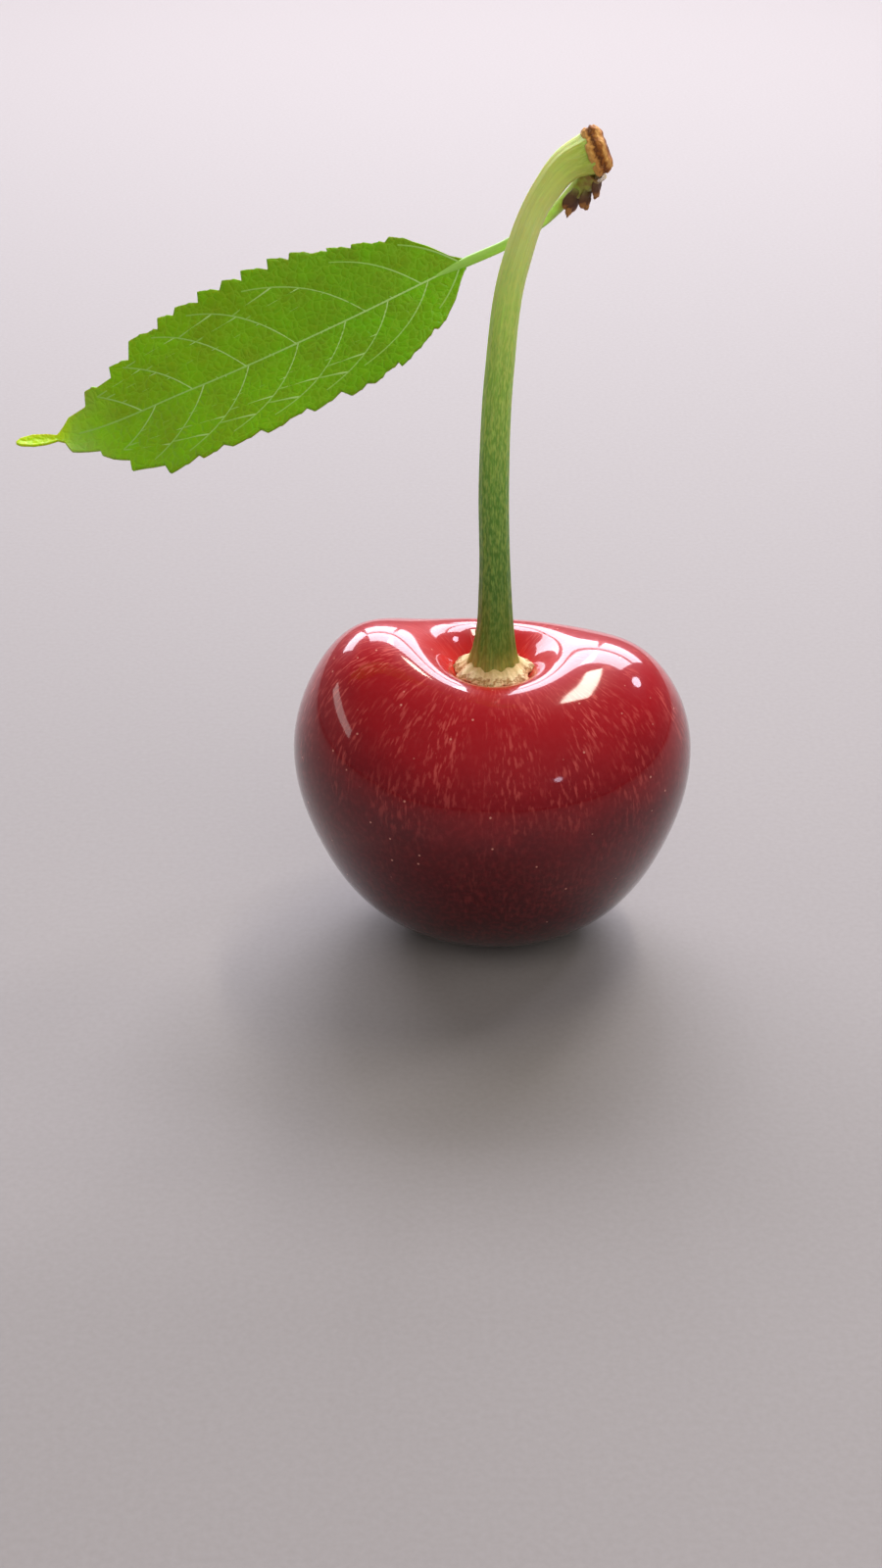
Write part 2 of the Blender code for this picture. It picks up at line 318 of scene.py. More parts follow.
# Pores, 1 mm apart, of which about half show.
pore_cells = add(tree, "ShaderNodeTexVoronoi", {"Vector": place, "Scale": 1 / (0.95 * MM)})
pore_dots = add(
    tree,
    RAMP,
    {"Value": pore_cells.outputs["Distance"], "From Min": 0.10, "From Max": 0.05},
)
pore_pick = add(tree, "ShaderNodeSeparateColor", {"Color": pore_cells.outputs["Color"]})
pore_chosen = add(tree, MATH, {0: pore_pick.outputs["Red"], 1: 0.45}, operation="GREATER_THAN")
pore_share = add(tree, MATH, {0: pore_dots, 1: pore_chosen}, operation="MULTIPLY")
pore_mix = add(tree, MATH, {0: pore_share, 1: 0.8}, operation="MULTIPLY")
dotted = add(
    tree, MIX, {"Factor": pore_mix, "A": streaked, "B": linear("#F0A08C")}, data_type="RGBA"
)

# Mottling under the cuticle: paler flecks of flesh, 0.35 mm across.
flecks = add(tree, NOISE, {"Vector": place, "Scale": 1 / (0.35 * MM), "Detail": 2.0})
fleck_share = add(
    tree, RAMP, {"Value": flecks, "From Min": 0.45, "From Max": 0.70, "To Max": 0.14}
)
mottled = add(
    tree, MIX, {"Factor": fleck_share, "A": dotted, "B": linear("#B8343A")}, data_type="RGBA"
)

# The skin's own unevenness: dimples 0.5 mm across and a few microns deep.
dimples = add(tree, NOISE, {"Vector": place, "Scale": 1 / (0.5 * MM), "Detail": 3.0})
swells = add(tree, NOISE, {"Vector": place, "Scale": 1 / (2.2 * MM), "Detail": 1.0})
uneven = add(tree, MATH, {0: swells, 1: 2.0, 2: dimples}, operation="MULTIPLY_ADD")
dress(tree, shader, mottled, uneven, 0.25, 0.012, dimples, (0.26, 0.42))

# Radius and heights are shares of the fruit's box, which its skin then just fills.
fruit_sizes = {
    "Radius": 0.497 * fruit_size.x,
    "Depth share": 0.82,
    "Middle height": 0.521 * fruit_size.z,
    "Half height": 0.5395 * fruit_size.z,
    "Lean": -0.18 * MM,
    "Seam depth": 0.22 * MM,
    "Seam width": 0.9 * MM,
    "Unevenness": 0.10 * MM,
    "Swells per metre": 1 / (6 * MM),
    "Pit floor radius": 0.3 * MM,
    "Pit rim radius": 0.9 * MM,
    "Pit height": 0.35 * MM,
    "Segments": 288,
    "Rings": 200,
}
# The cavity and the two shoulders are bell-shaped hills: middle along X, spreads, rise.
FRUIT_HILLS = (
    (0.0, 3.25 * MM, 3.25 * MM, -4.75 * MM),
    (-11.0 * MM, 5.15 * MM, 12.0 * MM, 4.9 * MM),
    (12.6 * MM, 5.15 * MM, 12.0 * MM, 3.6 * MM),
)
tree, size = start_tree("fruit", fruit_sizes)
ball = add(
    tree,
    "GeometryNodeMeshUVSphere",
    {"Segments": size["Segments"], "Rings": size["Rings"], "Radius": 1.0},
)
direction = add(tree, "GeometryNodeInputPosition")
marked = add(
    tree,
    "GeometryNodeStoreNamedAttribute",
    {"Geometry": ball, "Name": "skin", "Value": direction},
    data_type="FLOAT_VECTOR",
)
axes = add(tree, "ShaderNodeSeparateXYZ", {0: direction}).outputs
girth = 0.0
for term in reversed(GIRTH_TERMS):
    girth = add(tree, MATH, {0: girth, 1: axes["Z"], 2: term}, operation="MULTIPLY_ADD")
girth = add(tree, MATH, {0: girth, 1: size["Radius"]}, operation="MULTIPLY")
rise = 0.0
for term in reversed(HEIGHT_TERMS):
    rise = add(tree, MATH, {0: rise, 1: axes["Z"], 2: term}, operation="MULTIPLY_ADD")
height = add(
    tree,
    MATH,
    {0: rise, 1: size["Half height"], 2: size["Middle height"]},
    operation="MULTIPLY_ADD",
)
across = add(tree, MATH, {0: girth, 1: axes["X"]}, operation="MULTIPLY")
depth = add(tree, MATH, {0: girth, 1: size["Depth share"]}, operation="MULTIPLY")
depth = add(tree, MATH, {0: depth, 1: axes["Y"]}, operation="MULTIPLY")
# The hills fade out downwards, with the cube of the upward share of the direction.
upper = add(tree, MATH, {0: axes["Z"], 1: 0.5, 2: 0.5}, operation="MULTIPLY_ADD")
upper = add(tree, MATH, {0: upper, 1: 3.0}, operation="POWER")
level = add(tree, "ShaderNodeCombineXYZ", {"X": across, "Y": depth})
for middle, spread_x, spread_y, hill_rise in FRUIT_HILLS:
    offset = add(tree, VECTOR, {0: level, 1: (middle, 0.0, 0.0)}, operation="SUBTRACT")
    away = add(tree, VECTOR, {0: offset, 1: (spread_x, spread_y, 1.0)}, operation="DIVIDE")
    square = add(tree, VECTOR, {0: away, 1: away}, operation="DOT_PRODUCT")
    falling = add(tree, MATH, {0: square, 1: -1.0}, operation="MULTIPLY")
    bell = add(tree, MATH, {0: falling}, operation="EXPONENT")
    hill = add(tree, MATH, {0: bell, 1: hill_rise}, operation="MULTIPLY")
    height = add(tree, MATH, {0: hill, 1: upper, 2: height}, operation="MULTIPLY_ADD")
# The seam is a shallow valley down the back.
seam_away = add(tree, MATH, {0: across, 1: size["Seam width"]}, operation="DIVIDE")
seam_square = add(tree, MATH, {0: seam_away, 1: seam_away}, operation="MULTIPLY")
seam_falling = add(tree, MATH, {0: seam_square, 1: -1.0}, operation="MULTIPLY")
seam = add(tree, MATH, {0: seam_falling}, operation="EXPONENT")
behind = add(tree, MATH, {0: axes["Y"], 1: 0.0}, operation="MAXIMUM")
seam = add(tree, MATH, {0: seam, 1: behind}, operation="MULTIPLY")
seam = add(tree, MATH, {0: seam, 1: size["Seam depth"]}, operation="MULTIPLY")
depth = add(tree, MATH, {0: depth, 1: seam}, operation="SUBTRACT")
across = add(tree, MATH, {0: size["Lean"], 1: axes["Z"], 2: across}, operation="MULTIPLY_ADD")
shaped = add(
    tree,
    "GeometryNodeSetPosition",
    {
        "Geometry": marked,
        "Position": add(tree, "ShaderNodeCombineXYZ", {"X": across, "Y": depth, "Z": height}),
    },
)
swelling = add(
    tree,
    NOISE,
    {
        "Vector": add(tree, "GeometryNodeInputPosition"),
        "Scale": size["Swells per metre"],
        "Detail": 1.0,
    },
)
swelling = add(tree, MATH, {0: swelling.outputs[0], 1: 0.5}, operation="SUBTRACT")
swelling = add(tree, MATH, {0: swelling, 1: size["Unevenness"]}, operation="MULTIPLY")
outward = add(tree, "GeometryNodeInputNormal")
swollen = add(
    tree,
    "GeometryNodeSetPosition",
    {
        "Geometry": shaped,
        "Offset": add(tree, VECTOR, {0: outward, "Scale": swelling}, operation="SCALE"),
    },
)
# The blossom end is flat where it stands, with a pit where the flower's style broke off.
now = add(tree, "ShaderNodeSeparateXYZ", {0: add(tree, "GeometryNodeInputPosition")}).outputs
reach = add(tree, "ShaderNodeCombineXYZ", {"X": now["X"], "Y": now["Y"]})
reach = add(tree, VECTOR, {0: reach}, operation="LENGTH")
pit = add(
    tree,
    RAMP,
    {
        "Value": reach,
        "From Min": size["Pit floor radius"],
        "From Max": size["Pit rim radius"],
        "To Min": size["Pit height"],
        "To Max": 0.0,
    },
    interpolation_type="SMOOTHSTEP",
)
raised = add(tree, MATH, {0: now["Z"], 1: pit}, operation="MAXIMUM")
standing = add(
    tree,
    "GeometryNodeSetPosition",
    {
        "Geometry": swollen,
        "Position": add(tree, "ShaderNodeCombineXYZ", {"X": now["X"], "Y": now["Y"], "Z": raised}),
    },
)
end_tree(tree, standing, skin)
fruit = grow("cherry_fruit", tree, fruit_sizes)
hand_in(fruit, "fruit")


# ---------------------------------------------------------------------------------------------
# Stem: the green pedicel, one fleshy shoot with fine ridges along it. It flares into the fruit's
# cavity at its foot, bends to the right near the top, and swells where it came off the spur.

# x, y, height above the stem's foot and radius in millimetres, from the foot to the top end.
STEM_ROWS = (
    (0.0, 0.0, 0.0, 1.3),
    (0.0, 0.0, 1.25, 1.78),
    (0.03, 0.0, 2.25, 1.52),
    (0.07, 0.0, 3.85, 1.26),
    (0.03, 0.0, 7.15, 1.05),
    (-0.12, 0.15, 14.65, 0.96),
    (0.13, 0.4, 21.65, 0.9),
    (1.0, 0.65, 28.45, 0.86),
    (2.74, 0.87, 33.0, 0.86),
    (4.2, 0.9, 34.77, 1.05),
    (5.5, 0.9, 35.37, 1.33),
)


def smooth_rows(rows, count):
    """Evenly spaced rows on the smooth curve through the given rows of numbers."""
    rows = np.array(rows, float)
    steps = np.linalg.norm(np.diff(rows[:, :3], axis=0), axis=1)
    along = np.concatenate(([0.0], np.cumsum(steps)))
    slopes = np.gradient(rows, along, axis=0)
    found = []
    for at in np.linspace(0.0, along[-1], count):
        i = min(np.searchsorted(along, at, side="right") - 1, len(rows) - 2)
        span = along[i + 1] - along[i]
        t = (at - along[i]) / span
        found.append(
            (2 * t**3 - 3 * t**2 + 1) * rows[i]
            + (t**3 - 2 * t**2 + t) * span * slopes[i]
            + (3 * t**2 - 2 * t**3) * rows[i + 1]
            + (t**3 - t**2) * span * slopes[i + 1]
        )
    return np.array(found)


def guide_lines(name, lines):
    """A mesh of loose lines, from lists of rows of x, y, z and radius in millimetres."""
    points, edges, radii = [], [], []
    for rows in lines:
        first = len(points)
        points += [tuple(row[:3] * MM) for row in rows]
        radii += [row[3] * MM for row in rows]
        edges += [(i, i + 1) for i in range(first, len(points) - 1)]
    mesh = bpy.data.meshes.new(name)
    mesh.from_pydata(points, edges, [])
    mesh.attributes.new("thickness", "FLOAT", "POINT").data.foreach_set("value", radii)
    return mesh


def shoot_tree(name, sizes, material, turning="Z_UP"):
    """A tree that sweeps a round, ridged and grooved section along each guide line."""
    tree, size = start_tree(name, sizes)
    line = add(tree, "GeometryNodeMeshToCurve", {"Mesh": size["Guide"]})
    thickness = add(
        tree, "GeometryNodeInputNamedAttribute", {"Name": "thickness"}, data_type="FLOAT"
    )
    level = add(tree, "GeometryNodeSetCurveNormal", {"Curve": line}, mode=turning)
    measured = add(
        tree,
        "GeometryNodeStoreNamedAttribute",
        {
            "Geometry": level,
            "Name": "along",
            "Value": add(tree, "GeometryNodeSplineParameter").outputs["Factor"],
        },
        data_type="FLOAT",
    )
    ring = add(
        tree,
        "GeometryNodeCurvePrimitiveCircle",
        {"Resolution": size["Sides"], "Radius": 1.0},
        mode="RADIUS",
    )
    spot = add(tree, "GeometryNodeInputPosition")
    turned = add(
        tree,
        "GeometryNodeStoreNamedAttribute",
        {"Geometry": ring, "Name": "around", "Value": spot},
        data_type="FLOAT_VECTOR",
    )
    # The ridges are a cosine round the section, and the groove a bell-shaped dent in its top.
    parts = add(tree, "ShaderNodeSeparateXYZ", {0: spot}).outputs
    angle = add(tree, MATH, {0: parts["Y"], 1: parts["X"]}, operation="ARCTAN2")
    waves = add(tree, MATH, {0: angle, 1: size["Ridges"]}, operation="MULTIPLY")
    waves = add(tree, MATH, {0: waves}, operation="COSINE")
    waves = add(tree, MATH, {0: waves, 1: size["Ridge height"], 2: 1.0}, operation="MULTIPLY_ADD")
    from_top = add(tree, MATH, {0: parts["Y"], 1: 1.0}, operation="SUBTRACT")
    dent = add(tree, MATH, {0: from_top, 1: 6.0}, operation="MULTIPLY")
    dent = add(tree, MATH, {0: dent}, operation="EXPONENT")
    dent = add(tree, MATH, {0: dent, 1: size["Groove"]}, operation="MULTIPLY")
    swell = add(tree, MATH, {0: waves, 1: dent}, operation="SUBTRACT")
    section = add(
        tree,
        "GeometryNodeSetPosition",
        {
            "Geometry": turned,
            "Position": add(tree, VECTOR, {0: spot, "Scale": swell}, operation="SCALE"),
        },
    )
    swept = add(
        tree,
        "GeometryNodeCurveToMesh",
        {"Curve": measured, "Profile Curve": section, "Scale": thickness, "Fill Caps": True},
    )
    end_tree(tree, swept, material)
    return tree


# Stem skin: living green shoot with a thin bloom. It is dark green and finely ribbed low down,
# and pale yellow-green with a fine speckle near the top, where the light shines through; that
# pale top is partly its own colour and partly painted light.
stem_skin, tree, shader = new_material(
    "green stem skin",
    {"IOR": 1.42, "Subsurface Weight": 0.45, "Subsurface Scale": 1.2 * MM},
)
along = add(tree, "ShaderNodeAttribute", attribute_name="along").outputs["Fac"]
around = add(tree, "ShaderNodeAttribute", attribute_name="around").outputs["Vector"]
# Towards the top end these colours are partly painted light.
STEM_GREEN_AND_LIGHT_STOPS = (
    (0.00, "#D2B56A"),
    (0.045, "#A9A24C"),
    (0.08, "#64842C"),
    (0.20, "#52802A"),
    (0.38, "#70A23A"),
    (0.55, "#9ECC50"),
    (0.70, "#CAF06C"),
    (0.84, "#EEFF98"),
    (0.94, "#E4FA78"),
    (1.00, "#C4D850"),
)
green_and_light_ramp = add(tree, "ShaderNodeValToRGB", {"Fac": along}, STEM_GREEN_AND_LIGHT_STOPS)
# Ribs are 0.1 mm apart round the stem, run for a few millimetres and fade towards the top.
parts = add(tree, "ShaderNodeSeparateXYZ", {0: around}).outputs
place = add(tree, "ShaderNodeCombineXYZ", {"X": parts["X"], "Y": parts["Y"], "Z": along})
ribs, rib_shares = stretched_noise(tree, place, (11.0, 11.0, 14.0), 3.0, (0.35, 0.65), 0.6)
rib_fading = add(tree, RAMP, {"Value": along, "To Min": 0.6, "To Max": 0.12})
rib_mix = add(tree, MATH, {0: rib_shares, 1: rib_fading}, operation="MULTIPLY")
ribbed = add(
    tree, MIX, {"Factor": rib_mix, "A": green_and_light_ramp, "B": linear("#4E8030")}, data_type="RGBA"
)
# Speckle: cells of the skin, 0.1 mm wide and 0.5 mm long, yellow among green.
cells, cell_shares = stretched_noise(tree, place, (9.0, 9.0, 75.0), 2.0, (0.42, 0.62))
speckle_share = add(
    tree,
    RAMP,
    {"Value": along, "From Min": 0.1, "From Max": 0.7, "To Min": 0.15, "To Max": 0.6},
)
speckle_mix = add(tree, MATH, {0: cell_shares, 1: speckle_share}, operation="MULTIPLY")
speckled = add(
    tree, MIX, {"Factor": speckle_mix, "A": ribbed, "B": linear("#E0F07C")}, data_type="RGBA"
)
relief = add(tree, MATH, {0: ribs, 1: 2.0, 2: cells}, operation="MULTIPLY_ADD")
dress(tree, shader, speckled, relief, 0.6, 0.05, cells, (0.36, 0.52))

STEM_STATIONS = 220
stem_sizes = {"Sides": 96, "Ridges": 11, "Ridge height": 0.02, "Groove": 0.0}
stem_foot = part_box("stem")[0].z / MM
stem_rows = [(x, y, stem_foot + up, radius) for x, y, up, radius in STEM_ROWS]
stem_path = smooth_rows(stem_rows, STEM_STATIONS)
tree = shoot_tree("stem", stem_sizes, stem_skin, "MINIMUM_TWIST")
stem = grow("cherry_stem", tree, stem_sizes, guide_lines("stem guide", [stem_path]))
hand_in(stem, "stem")


# ---------------------------------------------------------------------------------------------
# Receptacle: what is left of the blossom's cup, a papery collar round the foot of the stem. It
# grows out of the stem's skin, flares over the fruit in the cavity and has dried to a wavy rim.

def sheet(name, points, material, closed_round=False, around=None):
    """A mesh from rows of points in metres, each row one station, joined row to row."""
    rows, columns = len(points), len(points[0])
    faces = []
    for i in range(rows - 1):
        for j in range(columns if closed_round else columns - 1):
            k = (j + 1) % columns
            faces.append(
                (i * columns + j, i * columns + k, (i + 1) * columns + k, (i + 1) * columns + j)
            )
    if closed_round:
        faces.append(tuple(reversed(range(columns))))
        faces.append(tuple((rows - 1) * columns + j for j in range(columns)))
    mesh = bpy.data.meshes.new(name)
    mesh.from_pydata([tuple(p) for row in points for p in row], [], faces)
    shares = [i / (rows - 1) for i in range(rows) for _ in range(columns)]
    mesh.attributes.new("along", "FLOAT", "POINT").data.foreach_set("value", shares)
    if around:
        spread = mesh.attributes.new("around", "FLOAT_VECTOR", "POINT")
        spread.data.foreach_set("vector", [n for row in around for spot in row for n in spot])
    mesh.materials.append(material)
    mesh.shade_smooth()
    piece = bpy.data.objects.new(name, mesh)
    scene.collection.objects.link(piece)
    return piece


def grained_finish(name, stops, scale, contrast, roughness, relief):
    """A plant finish: colours along the piece, shifted by its grain, with a fine relief."""
    material, tree, shader = new_material(name, {})
    place = add(tree, "ShaderNodeTexCoord").outputs["Object"]
    along = add(tree, "ShaderNodeAttribute", attribute_name="along").outputs["Fac"]
    grain = add(tree, NOISE, {"Vector": place, "Scale": 1 / (scale * MM), "Detail": 4.0})
    shift = add(tree, MATH, {0: grain, 1: 0.5}, operation="SUBTRACT")
    shift = add(tree, MATH, {0: shift, 1: contrast}, operation="MULTIPLY")
    spot = add(tree, MATH, {0: along, 1: shift}, operation="ADD")
    ramp = add(tree, "ShaderNodeValToRGB", {"Fac": spot}, stops)
    dress(tree, shader, ramp, grain, 0.8, relief, grain, roughness)
    return material


# Dried receptacle: the green of the stem turns to cream, then tan, with thin brown drying lines.
# Under the rim, where it curls back to the skin, it darkens to brown: painted shade.
RECEPTACLE_AND_SHADE_STOPS = (
    (0.00, "#8C9440"),
    (0.18, "#B9AE54"),
    (0.34, "#DCC686"),
    (0.46, "#EED8A0"),
    (0.53, "#A8763A"),
    (0.59, "#F0D8A2"),
    (0.72, "#D8AE62"),
    (0.84, "#8A5A28"),
    (1.00, "#6A401C"),
)
receptacle_finish = grained_finish(
    "dried cream receptacle", RECEPTACLE_AND_SHADE_STOPS, 0.28, 0.34, (0.55, 0.75), 0.06
)

# Radius and height above the ring's middle in millimetres, from the stem's skin out, under the
# rim and back to the stem.
COLLAR_PROFILE = (
    (1.1, 1.25),
    (1.36, 0.65),
    (1.62, 0.29),
    (1.92, -0.01),
    (2.24, -0.25),
    (2.48, -0.4),
    (2.6, -0.53),
    (2.55, -0.67),
    (2.4, -0.79),
    (2.15, -0.89),
    (1.8, -1.0),
    (1.2, -1.15),
)
ring_low, ring_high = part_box("receptacle_ring")
ring_middle = (ring_low + ring_high) / 2
COLLAR_ROWS = 60
COLLAR_COLUMNS = 180
# The collar is smooth out to this radius and fully loose this much further out.
FLARE_START = 1.5
FLARE_WIDTH = 1.0
# The loose rim's waves: how many go round, how far they reach and where they start.
RIM_WAVES = ((7, 0.11, 0.6), (12, 0.06, 2.0))
RIM_DIPS, RIM_DIP, RIM_SAG, RIM_TATTER = 5, 0.10, 0.12, 0.16
PLEATS, PLEAT_SHARE = 34, 0.022
collar_points = []
profile = smooth_rows([(radius, up, 0.0, 0.0) for radius, up in COLLAR_PROFILE], COLLAR_ROWS)
for i, (radius, height, _, _) in enumerate(profile):
    share = i / (COLLAR_ROWS - 1)
    flare = max(0.0, min(1.0, (radius - FLARE_START) / FLARE_WIDTH))
    ring = []
    for j in range(COLLAR_COLUMNS):
        turn = math.tau * j / COLLAR_COLUMNS
        out = Vector((math.cos(turn), math.sin(turn), 0.0))
        wave = sum(reach * math.sin(count * turn + start) for count, reach, start in RIM_WAVES)
        tatter = RIM_TATTER * noise.noise(out * 3.4 + Vector((0.0, 0.0, share * 1.5)))
        sag = RIM_SAG * noise.noise(out * 2.6 + Vector((5, 2, 0)))
        dip = RIM_DIP * math.sin(RIM_DIPS * turn + 1.1) + sag
        pleat = PLEAT_SHARE * math.sin(PLEATS * turn + 2.0 * noise.noise(out * 2))
        spread = radius * (1 + pleat * flare) + (wave + tatter) * flare
        ring.append(ring_middle + (out * spread + Vector((0, 0, height + dip * flare))) * MM)
    collar_points.append(ring)
collar = sheet("receptacle_collar", collar_points, receptacle_finish, closed_round=True)
hand_in(collar, "receptacle_ring")


# ---------------------------------------------------------------------------------------------
# Scar: the corky plate where the stem broke off the spur. It caps the stem's swollen end, with
# a tan rim on either side of a brown groove and a rough, slightly domed face.

# Cork, dry and crumbly: tan rims round a dark brown groove and a brown, grainy face.
SCAR_STOPS = (
    (0.00, "#A8A848"),
    (0.10, "#E2AE5C"),
    (0.22, "#DC9A48"),
    (0.32, "#6E3C16"),
    (0.42, "#B06A26"),
    (0.52, "#E8AC58"),
    (0.64, "#BC7630"),
    (0.80, "#96561E"),
    (1.00, "#643612"),
)
scar_finish = grained_finish("rough brown cork scar", SCAR_STOPS, 0.24, 0.36, (0.65, 0.90), 0.10)

# Distance beyond the stem's end and radius in millimetres.
SCAR_PROFILE = (
    (-0.30, 1.10),
    (-0.22, 1.32),
    (-0.08, 1.42),
    (0.06, 1.44),
    (0.18, 1.39),
    (0.28, 1.37),
    (0.40, 1.42),
    (0.56, 1.42),
    (0.72, 1.34),
    (0.86, 1.12),
    (0.92, 0.86),
    (0.90, 0.56),
    (0.96, 0.28),
    (0.98, 0.04),
)
SCAR_ROWS = 64
SCAR_COLUMNS = 120
# The scar faces the way that the stem runs over its last few stations.
SCAR_AIM_STATIONS = 5
# Lobes and crumbs are shares of the radius, and pits in the face are in millimetres.
SCAR_LOBES, LOBE_SHARE, BULGE_SHARE, CRUMB_SHARE = 5, 0.04, 0.10, 0.06
FACE_PIT, FACE_START = 0.12, 0.5
scar_root = Vector(stem_path[-1][:3])
scar_out = (scar_root - Vector(stem_path[-1 - SCAR_AIM_STATIONS][:3])).normalized()
scar_side = scar_out.cross(Vector((0, 0, 1))).normalized()
scar_up = scar_side.cross(scar_out)
scar_points = []
profile = smooth_rows([(ahead, radius, 0.0, 0.0) for ahead, radius in SCAR_PROFILE], SCAR_ROWS)
for ahead, radius, _, _ in profile:
    ring = []
    for j in range(SCAR_COLUMNS):
        turn = math.tau * j / SCAR_COLUMNS
        out = scar_side * math.cos(turn) + scar_up * math.sin(turn)
        bulge = BULGE_SHARE * noise.noise(out * 2.2 + scar_out * ahead)
        lobes = LOBE_SHARE * math.sin(SCAR_LOBES * turn + 0.4) + bulge
        crumbs = CRUMB_SHARE * noise.noise(out * radius * 5.5 + scar_out * ahead * 7)
        spread = radius * (1 + (lobes + crumbs) * min(1.0, radius))
        pit = FACE_PIT * noise.noise(out * radius * 2.0 + Vector((3, 0, 1)))
        pit = pit if ahead > FACE_START else 0.0
        ring.append((scar_root + out * spread + scar_out * (ahead + pit)) * MM)
    scar_points.append(ring)
scar = sheet("stem_scar_plate", scar_points, scar_finish, closed_round=True)
hand_in(scar, "stem_scar")


# ---------------------------------------------------------------------------------------------
# Leaf: one small living leaf, grown from the top of the stem. It is made as its blade, its veins
# and its stalk. The blade is cupped and double-toothed, and its narrow tip is twisted.

# x, y, z in millimetres from the leaf's lowest corner, along the midrib from the stalk to the tip.
MIDRIB_ROWS = (
    (28.25, 6.62, 11.43),
    (19.95, 4.49, 7.97),
    (11.35, 3.57, 4.34),
    (2.81, 4.12, 0.88),
    (0.03, 3.82, 0.65),
)
LEAF_LENGTH = 30.71
MIDRIB_SPANS = 240
BLADE_FACING = Vector((-0.17, -0.79, 0.59)).normalized()
TIP_TWIST = math.radians(28)
TWIST_START = 0.8
BLADE_CUP = 0.17
# Waves along each margin, and how many millimetres they rise where the blade is widest.
BLADE_WAVES = 2.6
BLADE_WAVE = 0.25
WIDEST_HALF = 5.0
BLADE_THICKNESS = 0.18

# Share of the midrib and half width in millimetres, tooth tips and notches in turn.
UPPER_MARGIN = (
    (0.0, 0.26), (0.02, 0.75), (0.05, 1.8), (0.075, 2.5), (0.108, 3.27), (0.125, 3.21),
    (0.15, 3.52), (0.183, 3.95), (0.192, 3.86), (0.233, 4.43), (0.239, 4.33), (0.27, 4.60),
    (0.308, 5.04), (0.32, 4.80), (0.355, 5.18), (0.367, 4.73), (0.415, 5.16), (0.426, 4.75),
    (0.459, 5.12), (0.477, 4.80), (0.518, 5.22), (0.53, 4.72), (0.577, 4.97), (0.592, 4.66),
    (0.62, 4.78), (0.632, 4.25), (0.655, 4.3), (0.692, 4.1), (0.712, 3.2), (0.752, 3.08),
    (0.762, 2.6), (0.80, 2.33), (0.826, 2.2), (0.84, 1.47), (0.88, 1.0), (0.90, 0.63),
    (0.915, 0.18), (0.935, 0.34), (0.965, 0.44), (0.99, 0.30), (1.0, 0.05),
)
LOWER_MARGIN = (
    (0.0, 0.26), (0.02, 0.85), (0.05, 1.95), (0.075, 2.58), (0.105, 3.15), (0.117, 3.12),
    (0.15, 3.72), (0.175, 4.02), (0.203, 4.34), (0.21, 4.10), (0.24, 4.32), (0.262, 4.52),
    (0.28, 4.40), (0.31, 4.58), (0.331, 4.13), (0.387, 4.5), (0.404, 4.22), (0.44, 4.42),
    (0.484, 4.62), (0.50, 4.36), (0.555, 4.54), (0.577, 4.30), (0.617, 4.50), (0.63, 4.30),
    (0.69, 4.56), (0.702, 4.0), (0.735, 3.75), (0.766, 3.38), (0.77, 2.8), (0.80, 2.2),
    (0.82, 1.75), (0.827, 1.52), (0.88, 1.12), (0.90, 0.4), (0.915, 0.18), (0.94, 0.38),
    (0.965, 0.44), (0.99, 0.28), (1.0, 0.05),
)
# The smooth outline without teeth, which sets how far the blade cups.
BLADE_HALF = (
    (0.0, 0.28), (0.05, 1.85), (0.1, 3.0), (0.15, 3.6), (0.22, 4.2), (0.31, 4.7), (0.42, 4.8),
    (0.52, 4.75), (0.6, 4.55), (0.69, 4.0), (0.76, 3.0), (0.83, 1.7), (0.885, 0.95),
    (0.915, 0.3), (0.96, 0.4), (1.0, 0.2),
)
leaf_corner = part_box("leaf")[0] / MM
midrib_points = [(*(leaf_corner + Vector(row)), 0.0) for row in MIDRIB_ROWS]
leaf_line = [Vector(row[:3]) for row in smooth_rows(midrib_points, MIDRIB_SPANS + 1)]


def leaf_place(share, across_mm, above=0.0):
    """A point of the blade in metres: share along the midrib, millimetres across and above."""
    at = max(0.0, min(1.0, share)) * MIDRIB_SPANS
    i = min(int(at), MIDRIB_SPANS - 1)
    spot = leaf_line[i].lerp(leaf_line[i + 1], at - i)
    tangent = (leaf_line[min(i + 3, MIDRIB_SPANS)] - leaf_line[max(i - 2, 0)]).normalized()
    turn = max(0.0, min(1.0, (share - TWIST_START) / (1 - TWIST_START)))
    turn = turn * turn * (3 - 2 * turn)
    side_way = tangent.cross(BLADE_FACING).normalized()
    side_way.rotate(Matrix.Rotation(TIP_TWIST * turn, 3, tangent))
    normal = side_way.cross(tangent).normalized()
    half = float(np.interp(share, *zip(*BLADE_HALF)))
    side = across_mm / half
    wave = BLADE_WAVE * math.sin(math.tau * BLADE_WAVES * share + side)
    wave *= min(1.2, abs(side)) ** 3
    lift = BLADE_CUP * half * abs(side) ** 1.5 + wave * half / WIDEST_HALF
    return (spot + side_way * across_mm + normal * (lift + above)) * MM


# Veins: share of the midrib where each leaves it, share that it gains on its way to the margin,
# and its reach across in millimetres.
UPPER_VEINS = (
    (0.004, 0.100, 2.75), (0.096, 0.150, 3.70), (0.221, 0.215, 4.25), (0.375, 0.190, 4.35),
    (0.486, 0.165, 3.95), (0.606, 0.125, 2.95), (0.722, 0.085, 1.85),
)
LOWER_VEINS = (
    (0.008, 0.080, 2.10), (0.080, 0.190, 3.30), (0.170, 0.185, 3.70), (0.265, 0.200, 3.85),
    (0.370, 0.180, 3.80), (0.480, 0.165, 3.85), (0.580, 0.140, 3.40), (0.690, 0.090, 2.00),
)
SHORT_VEINS = (
    (0.160, 0.045, 1.50), (0.300, 0.050, 1.60), (0.430, 0.045, 1.40), (0.548, 0.040, 1.35),
    (0.318, 0.045, -1.50), (0.425, 0.045, -1.40), (0.530, 0.040, -1.30), (0.215, 0.040, -1.30),
)


# A vein turns towards the tip over this many millimetres of the midrib.
VEIN_BEND_LENGTH = 3.2


